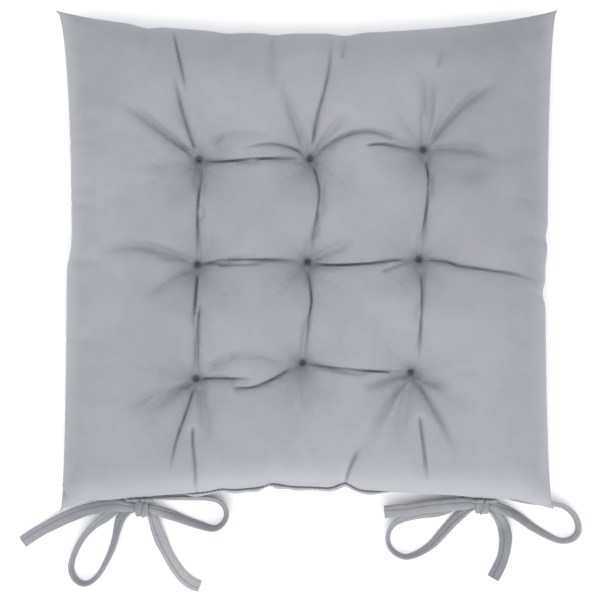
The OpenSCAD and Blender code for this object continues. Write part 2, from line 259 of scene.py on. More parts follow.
def velvet(name, light, dark, shade_and_dark_pile_tint, streak_scale=(5.0, 2.5, 5.0)):
    """Short-pile velvet: patches, fine streaks, painted shade in the hollows (darker pile too, where a piece
    marks it) and painted light where a piece marks it.
    """
    material, tree, shader, place = node_material(name)
    link = tree.links.new

    patches = noise(tree, place, 11.0, 3.0, 0.55, 0.6)
    stretched = add(tree, "ShaderNodeMapping", place, Scale=streak_scale).outputs["Vector"]
    streaks = noise(tree, stretched, 22.0, 4.0, 0.6)
    pile = noise(tree, place, 1500.0, 2.0, 0.7)
    shifted = add(tree, "ShaderNodeMapping", place, Location=(4.0, 7.0, 2.0)).outputs["Vector"]
    cool = noise(tree, shifted, 13.0, 2.0, 0.5, 0.4)

    lay = tree.nodes.new("ShaderNodeMath")
    lay.operation = "MULTIPLY_ADD"
    link(streaks, lay.inputs[0])
    lay.inputs[1].default_value = 0.35
    link(patches, lay.inputs[2])
    nap = mixed_colour(tree, ranged(tree, lay.outputs[0], From_Min=0.45, From_Max=0.9), dark, light)
    cool_share = ranged(tree, cool, From_Min=0.52, From_Max=0.72, To_Max=0.3)
    cooled = mixed_colour(tree, cool_share, nap, tinted(dark, 0.93, 0.94, 1.04))
    # painted light: the velvet made lighter where the piece marks its lit edges and rims
    lit_colour = mixed_colour(tree, layer_value(tree, "painted_light"), cooled, tinted(light, 1.22, 1.22, 1.21))
    # painted shade: the velvet darkened towards the tint in hollows, folds and grooves, and where a piece
    # marks its pile as darker
    tint = mixed_colour(tree, layer_value(tree, "pressed"), lit_colour, shade_and_dark_pile_tint)

    speckled = tree.nodes.new("ShaderNodeVectorMath")
    speckled.operation = "SCALE"
    link(tint, speckled.inputs[0])
    link(ranged(tree, pile, To_Min=0.93, To_Max=1.07), speckled.inputs["Scale"])
    link(speckled.outputs["Vector"], shader.inputs["Base Color"])
    link(ranged(tree, patches, To_Min=0.82, To_Max=0.96), shader.inputs["Roughness"])
    fine = bump(tree, pile, 0.35, 0.0003)
    link(bump(tree, streaks, 0.25, 0.0012, fine), shader.inputs["Normal"])
    set_inputs(shader, Specular_IOR_Level=0.12, Sheen_Weight=0.45, Sheen_Roughness=0.42)
    set_inputs(shader, Sheen_Tint=(0.86, 0.88, 1.0, 1))
    return material


def relief_with_painted_shade(tree, shader, pattern, dark, light, strength, distance):
    """A pattern that raises the surface and colours it, with painted shade where it is low."""
    tree.links.new(mixed_colour(tree, pattern, dark, light), shader.inputs["Base Color"])
    tree.links.new(bump(tree, pattern, strength, distance), shader.inputs["Normal"])


def thread_material(name, colour):
    """Twisted sewing thread."""
    material, tree, shader, place = node_material(name)
    twist = add(tree, "ShaderNodeTexWave", place, Scale=700.0, Distortion=1.5, Detail=2.0)
    twist.bands_direction = "DIAGONAL"
    relief_with_painted_shade(tree, shader, twist.outputs["Fac"], [0.55 * c for c in colour], colour, 0.6, 0.0002)
    set_inputs(shader, Roughness=0.6, Specular_IOR_Level=0.3)
    return material


def wadding_material():
    """Loose white polyester fibre."""
    material, tree, shader, place = node_material("polyester_wadding")
    fibres = noise(tree, place, 260.0, 6.0, 0.7, 2.5)
    relief_with_painted_shade(tree, shader, fibres, (0.74, 0.74, 0.72), (0.93, 0.93, 0.91), 0.8, 0.001)
    set_inputs(shader, Roughness=0.95)
    return material


COVER_LIGHT = (0.290, 0.291, 0.305)
COVER_DARK = (0.247, 0.249, 0.268)
# the colour of the painted shade in tuft hollows, folds and seams, also used where the pile is made darker
SHADE_AND_DARK_PILE_TINT = (0.052, 0.054, 0.084)
cover_velvet = velvet("velvet_top", COVER_LIGHT, COVER_DARK, SHADE_AND_DARK_PILE_TINT)
# painted shade: the underside's velvet is the top's made 4 % darker, for the side that faces the floor
under_velvet = velvet(
    "velvet_underside", [0.96 * c for c in COVER_LIGHT], [0.96 * c for c in COVER_DARK], SHADE_AND_DARK_PILE_TINT
)
strap_velvet = velvet(
    "velvet_strap", (0.325, 0.328, 0.338), (0.224, 0.227, 0.242), (0.13, 0.135, 0.155), (9.0, 9.0, 9.0)
)
thread = thread_material("sewing_thread", (0.17, 0.17, 0.21))
strap_thread = thread_material("strap_sewing_thread", (0.29, 0.295, 0.325))
wadding = wadding_material()


# ---------------------------------------------------------------- ties
STRAP_WIDTH, STRAP_THICKNESS = 10.0, 2.4
STRAP_GAP = 1.0
# Route rows are [x, y, z, lean, squeeze] from the middle of the knot, as in the CAD
LEFT_OUTER = [
    [-8, 8.1, 8.5, -90, 0.8], [-12.5, 7, 5.6, -80, 0.9], [-19, 1.5, 4.8, -45, 1],
    [-29, -8, 4.8, -42, 1], [-38.5, -14.5, 5, -55, 1], [-47.5, -24.5, 5.3, -65, 1],
    [-53.8, -36.8, 5.4, -70, 1], [-56.5, -49, 5.4, -70, 1], [-52.8, -57.5, 5.4, -70, 1],
    [-45.3, -61, 5.4, -70, 1], [-37, -56.5, 5.4, -70, 1], [-29, -44.5, 5.3, -64, 1],
    [-23, -30.5, 5, -58, 1], [-20, -18.3, 4.7, -50, 1], [-17.2, -9, 4.4, -25, 0.85],
    [-12, -3.2, 4.4, -5, 0.7], [-5.5, -0.6, 4.6, 0, 0.6], [0, -0.4, 4.6, 0, 0.6],
    [4.6, -1.7, 4.5, 0, 0.6], [8, -5.8, 4.2, 0, 0.75], [11.2, -15.5, 3.2, 8, 0.95],
    [16.5, -29, 2.4, 4, 1], [23.5, -42.5, 1.8, 0, 1], [31.5, -54, 1.6, 0, 1],
    [39, -60.5, 1.5, 0, 1], [46.5, -63.5, 1.5, 0, 1],
]
LEFT_INNER = [
    [8.5, 8.1, 8.5, 90, 0.8], [13.5, 7.8, 5.8, 88, 0.9], [21, 7.4, 5.4, 80, 1],
    [36.5, 7.4, 5.4, 75, 1], [51.8, 7.4, 5.4, 72, 1], [61.8, 5, 5.4, 70, 1],
    [67.2, -0.8, 5.4, 70, 1], [67.8, -7.6, 5.4, 70, 1], [64, -13.8, 5.4, 70, 1],
    [57, -16.6, 5.3, 65, 1], [44.2, -13.2, 5, 55, 1], [28.7, -7.5, 5.4, 45, 1],
    [16, -3.2, 7.2, 25, 0.85], [8.5, -0.8, 8.6, 5, 0.7], [0, 0, 8.7, 0, 0.6],
    [-7, 0.8, 9.2, 0, 0.7], [-12.5, 1.1, 10.8, 0, 0.9], [-20, 2.4, 11.9, 0, 1],
    [-30, 1.4, 11.8, 0, 1], [-44.6, -1.6, 9.8, 0, 1], [-60, -7.6, 6.4, 0, 1],
    [-75, -15, 3.3, 0, 1], [-87, -21.8, 1.8, 0, 1], [-96, -28, 1.5, 0, 1],
]
RIGHT_OUTER = [
    [8.5, 8.1, 8.5, 90, 0.8], [13, 7.6, 5.9, 88, 0.9], [19, 6, 5.5, 84, 1],
    [37.7, 2, 5.4, 75, 1], [57.7, 0.4, 5.4, 70, 1], [67, -2, 5.4, 70, 1],
    [73.8, -8, 5.4, 70, 1], [77, -15, 5.4, 70, 1], [77, -21.8, 5.4, 70, 1],
    [73, -27, 5.4, 70, 1], [65.5, -29, 5.4, 70, 1], [57, -26.8, 5.2, 62, 1],
    [41, -18, 5, 50, 1], [27, -8.2, 5.4, 45, 1], [16, -3.2, 7.2, 25, 0.85],
    [8.5, -0.6, 8.6, 5, 0.7], [0, 0, 8.7, 0, 0.6], [-7, 1, 9.2, 0, 0.7],
    [-12.5, 1.3, 10.4, 0, 0.9], [-22.6, 0.7, 11.4, 0, 1], [-34, -0.3, 11.3, 0, 1],
    [-46, -1.6, 11.2, 0, 1], [-58, -3.4, 11.1, 0, 1], [-69, -4.6, 10.6, 0, 1], [-78.5, -5.4, 9.6, 0, 1],
]
RIGHT_INNER = [
    [-8, 8.1, 8.5, -90, 0.8], [-12.5, 7, 5.8, -80, 0.9], [-20, 0.5, 4.8, -45, 1],
    [-33, -5.6, 4.8, -42, 1], [-49.2, -8, 4.9, -48, 1], [-62.5, -11.5, 5.1, -58, 1],
    [-71.5, -16.8, 5.3, -66, 1], [-75.5, -25.3, 5.4, -70, 1], [-74.2, -33.5, 5.4, -70, 1],
    [-68.5, -39.2, 5.4, -70, 1], [-61, -41.6, 5.4, -70, 1], [-51.5, -39, 5.3, -64, 1],
    [-41.3, -32.8, 5, -56, 1], [-32, -23, 4.8, -48, 1], [-22.6, -13, 4.6, -38, 0.95],
    [-14.6, -6.2, 4.4, -15, 0.75], [-7, -1.6, 4.5, 0, 0.6], [0, -0.4, 4.6, 0, 0.6],
    [5.2, -2.2, 4.5, 0, 0.6], [11, -7, 4.2, 4, 0.75], [16.6, -15.4, 3.4, 12, 0.95],
    [19.2, -25.5, 2.9, 12, 1], [18.6, -36, 2.5, 9, 1], [16.4, -44.8, 2.1, 5, 1],
    [13, -52.6, 1.7, 0, 1], [9.2, -59.3, 1.5, 0, 1],
]
LEFT_DROP = [[7.7, 28], [7.8, 25], [8, 20], [8.3, 14]]
RIGHT_DROP = [[4.6, 28], [4.9, 25], [5.6, 20], [7.1, 14]]
GROOVE_AT = -1.3
GROOVE_WIDTH = 0.6
STRAP_STEP = 1.1
STITCH_PITCH = 3.0
STITCH_LENGTH = 2.0
# Cut ends whose pile is laid the dark way, by strap: how dark, and over what length in millimetres
DARK_TAILS = {"left_tie_inner_strap": (0.3, 88), "right_tie_inner_strap": (0.55, 52)}


def control_rows(drop, route, side):
    """Rows of place, width direction and squeeze, down from the seam and then along the route."""
    rows = [[side * (STRAP_WIDTH + STRAP_GAP) / 2, y, z, 1, 0, 0, 1] for y, z in drop]
    points = np.array(route)[:, :3]
    for i, (x, y, z, lean, squeeze) in enumerate(route):
        t = unit(points[min(i + 1, len(points) - 1)] - points[max(i - 1, 0)])
        level = unit(np.array([-t[1], t[0], 0]))
        width = math.cos(math.radians(lean)) * level + math.sin(math.radians(lean)) * np.array([0, 0, 1])
        rows.append([x, y, z, *width, squeeze])
    return np.array(rows, float)


def strap_section():
    """Across and through places round the folded strap, with the stitched groove on both faces."""
    half = STRAP_WIDTH / 2
    g = GROOVE_AT
    stations = [
        half, 4.85, 4.5, 3.9, 3.0, 2.0, 1.0, 0.1, g + 0.75, g + 0.4,
        g, g - 0.4, g - 0.75, -2.7, -3.4, -4.1, -4.6, -4.88,
    ]
    top = []
    for a in stations:
        h = STRAP_THICKNESS / 2 * max(0, 1 - abs(a / half) ** 3) ** 0.5
        top.append((a, h - 0.36 * bell(a - g, GROOVE_WIDTH)))
    return top + [(-half, 0)] + [(a, -h) for a, h in reversed(top[1:])]


def strap_piece(name, node, knot, drop, route, side, body, seed):
    """A folded strap along its route, the stitches on both its faces, and the line of its middle."""
    rows = control_rows(drop, route, side)
    rows = curve_through(np.vstack([rows[:1], rows, rows[-1:]]), STRAP_STEP)
    centre, squeeze = rows[:, :3], rows[:, 6]
    along = unit(np.gradient(centre, axis=0))
    width = unit(rows[:, 3:6] - np.sum(rows[:, 3:6] * along, axis=1, keepdims=True) * along)
    through = np.cross(along, width)
    n = len(rows)
    run = run_along(centre)
    swell = 1 + 0.035 * smooth_noise(n, 9, seed)
    sway = 0.12 * smooth_noise(n, 7, seed + 1)
    dark, tail = DARK_TAILS.get(node, (0, 1))

    def spot(k, a, b):
        """The point a across and b through the strap at station k, where it may be squeezed and bunched."""
        bunch = 0.35 * (1 - squeeze[k]) * math.cos(a * 2.3 + seed)
        rise = b / math.sqrt(squeeze[k]) + sway[k] * (a / 5) ** 2 + bunch
        return knot + centre[k] + width[k] * (a * squeeze[k] * swell[k]) + through[k] * rise

    section = strap_section()
    vertices, pressed = [], []
    for k in range(n):
        lay = dark * min(1, max(0, run[k] - run[-1] + tail) / 12)
        for a, b in section:
            pucker = 0.05 * math.sin(2 * math.pi * run[k] / STITCH_PITCH) * bell(a - GROOVE_AT, 1.4)
            vertices.append(spot(k, a, b + math.copysign(pucker, b)))
            # painted shade in the stitched groove, added to the darker pile of a cut end
            pressed.append(lay + 0.4 * bell(a - GROOVE_AT, GROOVE_WIDTH))
    vertices = np.array(vertices)
    vertices[:, 2] = np.maximum(vertices[:, 2], 0.15)
    piece = new_piece(name, vertices * MM, tube_faces(n, len(section)), body, strap_velvet)
    point_layer(piece, "pressed", pressed)
    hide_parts(node)

    segments = []
    for start in np.arange(4, run[-1] - 3, STITCH_PITCH):
        first, last = (min(int(np.searchsorted(run, s)), n - 1) for s in (start, start + STITCH_LENGTH))
        for face in (1, -1):
            sunk = face * (STRAP_THICKNESS / 2 - 0.30)
            a, b = (spot(k, GROOVE_AT, sunk) * MM for k in (first, last))
            if min(a[2], b[2]) > 0.4 * MM:
                segments.append((a, b))
    stitches = stitches_piece(name + "_stitching", segments, 0.17 * MM, 5, body, strap_thread)
    return piece, stitches, (knot + centre) * MM


def knot_piece(name, node, knot, body, lean, seed):
    """The turn of strap round both straps: a band with folds that run round it."""
    sides, across = 72, 25
    vertices, pressed = [], []
    profile = [(t, 1) for t in np.linspace(-1, 1, across)] + [(t, 0) for t in np.linspace(1, -1, 9)]
    for phi in np.linspace(0, 2 * math.pi, sides, endpoint=False):
        c, s = math.cos(phi), math.sin(phi)
        flat_c = math.copysign(abs(c) ** 0.72, c)
        flat_s = math.copysign(abs(s) ** 0.72, s)
        over = 0.5 + 0.5 * s  # 1 on top of the knot, 0 underneath
        half_width = 4.7 + 0.6 * over - 0.7 * bell(phi - 4.4, 0.7)
        for t, outside in profile:
            if outside:
                bulge = 1 - 0.42 * abs(t) ** 3.5
                fold = 0.42 * math.cos(7.2 * t + 1.1 * math.sin(phi + seed))
                fold += 0.20 * math.cos(13 * t - seed + 2.2 * phi)
                # painted shade: darker where one fold laps over the next; the whole knot a little darker too
                overlap = bell(t - 0.55 * c - 0.1, 0.13)
                radius = 4.2 + 2.35 * bulge + 0.8 * fold * (1 - abs(t) ** 6) - 0.8 * overlap
                pressed.append(0.2 + 0.4 * overlap)
            else:
                radius = 4.25
                # painted shade inside the loop
                pressed.append(0.6)
            x = t * half_width + lean * s * 1.3 + 0.5 * math.sin(2 * phi + seed)
            vertices.append(knot + np.array([x, flat_c * radius * 1.14, 6.65 + flat_s * radius * 0.98]))
    m = len(profile)
    faces = []
    for i in range(sides):
        here, after = i * m, (i + 1) % sides * m
        for k in range(m):
            beside = (k + 1) % m
            faces.append((here + k, here + beside, after + beside, after + k))
    vertices = np.array(vertices)
    vertices[:, 2] = np.maximum(vertices[:, 2], 0.2)
    piece = new_piece(name, vertices * MM, faces, body, strap_velvet)
    point_layer(piece, "pressed", pressed)
    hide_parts(node)
    return piece


# For each tie: its drop, the knot's lean and seed, the straps' first seed, and each strap's route, side of
# the knot and length in metres from the seam to its cut end, which is that of its route in the CAD
TIES = {
    "left": (
        LEFT_DROP, 0.6, 2.0, 20,
        [("outer", LEFT_OUTER, -1, 0.282), ("inner", LEFT_INNER, 1, 0.269)],
    ),
    "right": (
        RIGHT_DROP, -0.5, 4.1, 40,
        [("outer", RIGHT_OUTER, 1, 0.272), ("inner", RIGHT_INNER, -1, 0.271)],
    ),
}


def tie_pieces(tie, drop, lean, knot_seed, strap_seed, straps):
    joints = {joint["name"]: joint for joint in frame["joints"]}
    hinge = np.array(joints[f"{tie}_bow_swing"]["pos_m"]) / MM
    knot = np.array([hinge[0], hinge[1] - drop[0][0], 0.0])
    body = f"{tie}_bow"
    band = knot_piece(f"{tie}_knot", f"{tie}_bow_knot", knot, body, lean, knot_seed)
    for k, (part, route, side, length) in enumerate(straps):
        seed = strap_seed + 5 * k
        piece, stitches, path = strap_piece(
            f"{tie}_{part}_strap", f"{tie}_tie_{part}_strap", knot, drop, route, side, body, seed
        )


for tie, parts in TIES.items():
    tie_pieces(tie, *parts)


# ---------------------------------------------------------------- pad outline and tufts
SEAM_Z = 28.0
HALF = 200.0
# Where the nine tufts were set, by (column, row); the rear left one is (-1, -1)
TUFTS = {
    (-1, 1): (-85, 80), (0, 1): (3, 81), (1, 1): (92.5, 88),
    (-1, 0): (-86, -3), (0, 0): (1, -1), (1, 0): (89, 1),
    (-1, -1): (-87, -93), (0, -1): (-3, -80.5), (1, -1): (82.5, -88),
}
TUFT_PITCH = 88
# The tufts' columns and rows as shares of about the pad's half width and half depth
TUFT_U = TUFT_PITCH / 189.25
TUFT_V = TUFT_PITCH / 181.5
# How far around a tuft and around a corner's tip the cloth shifts with it, as shares of the pad's half width
TUFT_REACH = 0.2
TIP_REACH = 0.055

# How far the filling draws in the middle of a side, and how the draw flares out towards the corners.
# The left and right sides have one pair for their front half and another for their rear half.
FRONT_PULL = (19, 0.8)
REAR_PULL = (18, 0.5)
SIDE_PULLS = {"left": ((14, 0.45), (10, 0.2)), "right": ((8.5, 0.5), (10.5, 0.22))}
# The rear side is gathered further here: how far, at which place and over what half width
GATHER = 3.5
GATHER_AT = -15
GATHER_WIDTH = 50
# The blunt corner of a side: which half it is on, and how far it is drawn in
BLUNT_CORNERS = {"rear": (1, 3.6), "left": (-1, 3.4), "right": (-1, 3.6)}
# Small scallops where a seam puckers: place along the side, depth and half width, in millimetres
SCALLOPS = {
    "left": [],
    "right": [(20, 1.6, 6), (-26, 2.2, 7)],
    "front": [(-127, 2.2, 9), (-63, 1.4, 12), (-25, 1.4, 10), (31, 2.2, 10)],
    "rear": [(-176, 3.5, 9), (-69, 1.5, 8), (-26, 2.5, 9), (31, 5, 8), (170, 1.5, 12)],
}
# How far each rear corner's tip is drawn in, in millimetres, by (side in x, side in y)
TIPS = {(-1, -1): 1.0, (1, -1): 0.5}


def drawn(across, deep, flare):
    return deep * np.maximum(0, 1 - across**2) ** flare


def halves(across, front, rear):
    """One amount along the front half of a side and another along its rear half."""
    return rear + (front - rear) / (1 + np.exp(-(across * HALF - 3) / 4))


def side_pull(side, across):
    """How far the filling draws a side in from the 400 mm square, as in the CAD."""
    if side == "front":
        return drawn(across, *FRONT_PULL)
    if side == "rear":
        pull = drawn(across, *REAR_PULL) + GATHER * bell(across * HALF - GATHER_AT, GATHER_WIDTH)
    else:
        front, rear = SIDE_PULLS[side]
        pull = halves(across, drawn(across, *front), drawn(across, *rear))
    half, depth = BLUNT_CORNERS[side]
    blunt = np.where(across * half > 0, depth, 0)
    return (pull**4 + blunt**4) ** 0.25


def inset(side, across, out):
    """Inset of a side at a place across it; the scallops stay close to the edge."""
    pull = side_pull(side, across)
    near = np.abs(out) ** 9
    for place, depth, width in SCALLOPS[side]:
        pull = pull + near * depth * bell(across * HALF - place, width)
    return pull


def nearness(u, v, at_u, at_v, reach):
    return np.exp(-((u - at_u) ** 2 + (v - at_v) ** 2) / reach**2)


def plan(u, v):
    """Place in the plan of the pad, in millimetres, of the cloth point u, v."""
    half_x = HALF - np.where(u < 0, inset("left", v, u), inset("right", v, u))
    half_y = HALF - np.where(v < 0, inset("rear", u, v), inset("front", u, v))
    x, y = u * half_x, v * half_y
    shift_x, shift_y = np.zeros_like(x), np.zeros_like(y)
    for (column, row), (tx, ty) in TUFTS.items():
        tu, tv = np.array(column * TUFT_U), np.array(row * TUFT_V)
        hx = HALF - (inset("left", tv, tu) if column < 0 else inset("right", tv, tu))
        hy = HALF - (inset("rear", tu, tv) if row < 0 else inset("front", tu, tv))
        near = nearness(u, v, tu, tv, TUFT_REACH)
        shift_x += near * (tx - tu * hx)
        shift_y += near * (ty - tv * hy)
    for (side_x, side_y), depth in TIPS.items():
        near = nearness(u, v, side_x, side_y, TIP_REACH)
        shift_x -= near * side_x * depth
        shift_y -= near * side_y * depth
    return x + shift_x, y + shift_y


def tuft_distance(x, y):
    """Distance in millimetres to the nearest tuft."""
    return np.min([np.hypot(x - tx, y - ty) for tx, ty in TUFTS.values()], axis=0)


# ---------------------------------------------------------------- folds in the top panel
# Each fold: its sharpness from 0 to 1, how deep it is, and its line across the panel in millimetres
FOLDS = [
    # between the tufts of the front row
    (1.0, 3.4, [(-83, 79.5), (-75, 78), (-61, 77.5), (-44, 78.5), (-24, 79.5), (2, 81)]),
    (0.9, 2.8, [(0, 83), (-12, 88.5), (-25, 90.5), (-39, 89), (-53, 86)]),
    (0.3, 2.4, [(-77, 90), (-61, 98), (-42, 99), (-26, 95)]),
    (0.65, 3.2, [(5, 83), (18, 91.5), (32, 98), (46, 100.5), (60, 98.5), (74, 93), (88, 88)]),
    (0.9, 3.0, [(46, 89), (58, 90.5), (70, 89.5), (81, 88), (92, 87.5)]),
    # between the tufts of the middle row
    (1.0, 3.4, [(-85, -3), (-61, 0), (-39, 0), (-18, 0), (0, -1)]),
    (0.9, 2.0, [(-70, -4), (-50, -4), (-30, -3)]),
    (1.0, 3.4, [(3, -3), (26, -4), (49, -3), (72, 0), (90, 1)]),
    (0.7, 2.0, [(58, -9.5), (66, -7), (75, -3), (86, 0)]),
    # between the tufts of the rear row
    (1.0, 3.2, [(-85, -93), (-65, -92.5), (-40, -93.5)]),
    (1.0, 3.4, [(-58, -100), (-42, -99.5), (-27, -93.5), (-13, -85.5), (-4, -81)]),
    (0.2, 2.6, [(-80, -87), (-64, -77), (-39, -73), (-15, -77)]),
    (1.0, 3.4, [(0, -81), (18, -84), (38, -86), (58, -87.3), (81, -88)]),
    (0.3, 2.6, [(81, -90), (64, -93.5), (49, -98), (42, -99)]),
    # left column
    (1.0, 3.2, [(-84.5, 77), (-83, 66), (-84, 54), (-85, 36), (-85, 17), (-85, 0)]),
    (0.5, 1.4, [(-83, 76), (-80.5, 62), (-79.5, 48)]),
    (0.5, 1.6, [(-86, 76), (-87.5, 64), (-88, 52)]),
    (0.9, 3.0, [(-85.5, -9), (-86.6, -29), (-88, -55)]),
    (0.9, 3.0, [(-83.2, -34), (-84.1, -49), (-85.2, -69), (-86, -90)]),
    # centre column
    (1.0, 3.2, [(4, 79), (8, 66), (10, 52), (8, 33), (2, 3)]),
    (1.0, 3.0, [(1, -6), (4, -30), (2, -45), (0, -62), (-2, -78)]),
    # right column
    (1.0, 3.2, [(93.5, 82), (94.5, 74), (95.5, 63), (94.3, 46), (92, 26), (90, 6)]),
    (1.0, 3.0, [(90, -6), (90.2, -28), (89, -51), (88, -73), (87.5, -78)]),
    # from the front row to the front edge
    (0.9, 3.0, [(-86.5, 84), (-94, 106), (-99, 124), (-103.5, 146)]),
    (0.9, 3.0, [(-105, 180), (-100.5, 161), (-96.5, 144), (-94, 129)]),
    (0.35, 4.0, [(-88, 83), (-104, 94), (-121, 107), (-136, 118), (-148, 124)]),
    (0.9, 3.0, [(4, 86), (8, 110), (14, 132), (18, 152), (20, 176)]),
    (0.35, 2.2, [(-1, 86), (-9, 107), (-16, 130), (-19, 146)]),
    (0.2, 2.0, [(-27, 178), (-27, 155), (-25, 134)]),
    (0.4, 2.2, [(28, 158), (31, 176)]),
    (0.2, 2.6, [(8, 87), (20, 101), (33, 115)]),
    (0.35, 4.0, [(97, 92), (112, 110), (128, 125), (152, 141)]),
    (0.1, 2.4, [(94, 92), (97, 115), (94, 150)]),
    (0.1, 2.0, [(99, 96), (106, 113), (114, 134)]),
    (0.3, 1.8, [(103, 150), (108, 172)]),
    # from the left and right columns to the side edges
    (0.2, 3.0, [(-90, 0), (-114, 8), (-138, 11), (-162, 11)]),
    (0.3, 2.2, [(-90, -6), (-108, -16), (-125, -30)]),
    (0.2, 2.4, [(98, 89), (126, 87), (150, 81)]),
    (0.9, 3.0, [(93, 1), (108, -1), (121, -5), (141, -8), (162, -11), (177, -15), (186, -17)]),
    (0.1, 2.4, [(5, 1), (22, 8), (40, 15)]),
    # from the rear row to the rear edge
    (1.0, 3.2, [(-87, -96), (-94, -119), (-101, -140), (-107, -168)]),
    (0.3, 3.0, [(-89, -96), (-109, -105), (-127, -118)]),
    (0.2, 2.4, [(-100, -100), (-120, -106), (-140, -116)]),
    (0.2, 2.6, [(-84, -98), (-79, -118), (-75, -141)]),
    (0.9, 3.0, [(-88.5, -129), (-88.5, -143), (-87, -160), (-86.5, -186)]),
    (0.3, 2.6, [(84, -89), (95, -95), (112, -98)]),
    (0.6, 3.2, [(84, -92), (95, -109), (103, -123), (110, -136), (116, -150)]),
    (0.9, 3.0, [(88, -121), (90.5, -141), (94, -167), (95, -174)]),
    (0.2, 2.8, [(79, -94), (66, -109), (54, -129), (44, -150)]),
    (0.1, 2.2, [(80, -97), (74, -118), (69, -140)]),
    (0.8, 3.6, [(31, -176), (34, -163), (42, -145)]),
    # the tuck just inside the rear left corner
    (0.5, 2.4, [(-195, -177), (-192, -183), (-188, -189)]),
]
# Short puckers along the seams: place, direction in degrees, length and depth
PUCKERS = [
    # at the left edge
    ((-175, 110), 2, 34, 1.6), ((-178, 95), -2, 26, 1.2), ((-180, 57), 3, 24, 1.4),
    ((-177, 44), -14, 26, 2.0), ((-180, 0), -6, 30, 1.6), ((-180, -62), 4, 34, 1.4),
    # at the right edge
    ((181, 46), -12, 28, 1.6), ((184, 17), -14, 20, 2.2), ((182, -28), -18, 20, 1.4),
    # at the front and rear edges
    ((-127, 176), 85, 22, 1.8), ((-63, 172), 88, 24, 1.0), ((-25, 172), 92, 26, 1.2),
    ((32, 168), 86, 26, 2.2), ((-66, -172), 92, 24, 0.8), ((-28, -170), 84, 26, 1.0),
    # at the gathered corners
    ((-180, -186), 150, 20, 1.4), ((183, -177), 62, 22, 1.6),
    ((188, 186), 44, 22, 2.0), ((-188, 186), 136, 20, 1.4),
]
# How far from its line a fold can still move the cloth
FOLD_REACH = 24


def spline_line(points, step=1.5):
    """Points along a smooth line through the given ones, in millimetres."""
    p = np.array(points, float)
    if len(p) == 2:
        count = max(2, int(np.linalg.norm(p[1] - p[0]) / step))
        return p[0] + (p[1] - p[0]) * np.linspace(0, 1, count)[:, None]
    return curve_through(np.vstack([2 * p[0] - p[1], p, 2 * p[-1] - p[-2]]), step)


def nearest_on_line(x, y, line):
    """Each point's distance to a line, the nearest point on it, and how far along that is, from 0 to 1."""
    best = np.full(x.shape, 1e9)
    px, py, share = np.zeros_like(x), np.zeros_like(y), np.zeros_like(x)
    run = run_along(line)
    for k in range(len(line) - 1):
        ax, ay = line[k]
        dx, dy = line[k + 1] - line[k]
        span = dx * dx + dy * dy + 1e-9
        t = np.clip(((x - ax) * dx + (y - ay) * dy) / span, 0, 1)
        qx, qy = ax + t * dx, ay + t * dy
        d = np.hypot(x - qx, y - qy)
        closer = d < best
        best = np.where(closer, d, best)
        px, py = np.where(closer, qx, px), np.where(closer, qy, py)
        share = np.where(closer, (run[k] + t * math.sqrt(span)) / run[-1], share)
    return best, px, py, share


def near_line_mask(x, y, line, reach):
    low, high = line.min(0) - reach, line.max(0) + reach
    return (x > low[0]) & (x < high[0]) & (y > low[1]) & (y < high[1])


def taper(share):
    """A fold is soon at its full depth and runs out over the last 45 % of its length."""
    rise = np.sin(0.5 * math.pi * np.clip(share / 0.14, 0, 1))
    return rise * np.sin(0.5 * math.pi * np.clip((1 - share) / 0.45, 0, 1))


def pucker_line(place, angle, length):
    a = math.radians(angle)
    step = np.array([math.cos(a), math.sin(a)]) * length / 2
    return np.array([np.array(place) - step, np.array(place), np.array(place) + step])


# ---------------------------------------------------------------- the pad's cloth, simulated
CLOTH_N = 104
CLOTH_FRAMES = 30
# The start shape: how high the top and how deep the underside bulge from the seam
TOP_BULGE = 29
BOTTOM_BULGE = 26
# No point of the cloth ends further than this from where it started
FURTHEST_MOVE = 16


def pillow(u, v):
    return np.sqrt((1 - u**4) * (1 - v**4))


def guide_depth(x, y):
    """How far the folds press into the start shape of the top panel."""
    depth = np.zeros_like(x)
    for sharp, deep, points in FOLDS:
        distance, _, _, share = nearest_on_line(x, y, spline_line(points, 4))
        width = 4.2 + 3.5 * (1 - sharp)
        depth = np.maximum(depth, 1.5 * deep * taper(share) * bell(distance, width))
    for place, angle, length, deep in PUCKERS:
        distance, _, _, _ = nearest_on_line(x, y, pucker_line(place, angle, length))
        depth = np.maximum(depth, 1.2 * deep * bell(distance, 4.5))
    return depth


def simulate_pad():
    """Top and bottom grids of cloth, sewn at the edge and held at the tufts, blown up by the filling."""
    line = np.linspace(-1, 1, CLOTH_N + 1)
    u, v = np.meshgrid(line, line)
    x, y = plan(u, v)
    hollow = np.exp(-((tuft_distance(x, y) / 24) ** 1.2))
    top = SEAM_Z + TOP_BULGE * pillow(u, v) * (1 - 0.86 * hollow)
    top = top - guide_depth(x, y) * np.clip(pillow(u, v) * 2, 0, 1)
    bottom = SEAM_Z - BOTTOM_BULGE * pillow(u, v) * (1 - 0.66 * hollow)
    edge = np.zeros(u.shape, bool)
    edge[0, :] = edge[-1, :] = edge[:, 0] = edge[:, -1] = True
    top_index = np.arange(u.size).reshape(u.shape)
    bottom_index = top_index.copy()
    bottom_index[~edge] = u.size + np.arange((~edge).sum())
    vertices = np.concatenate([
        np.stack([x, y, top], -1).reshape(-1, 3),
        np.stack([x, y, bottom], -1)[~edge],
    ]) * MM
    faces = []
    for index, flip in ((top_index, False), (bottom_index, True)):
        quads = np.stack([index[:-1, :-1], index[:-1, 1:], index[1:, 1:], index[1:, :-1]], -1).reshape(-1, 4)
        faces += (quads[:, ::-1] if flip else quads).tolist()
    settled = run_cloth(vertices, faces, top_index, bottom_index, edge)
    return settled[top_index] / MM, settled[bottom_index] / MM


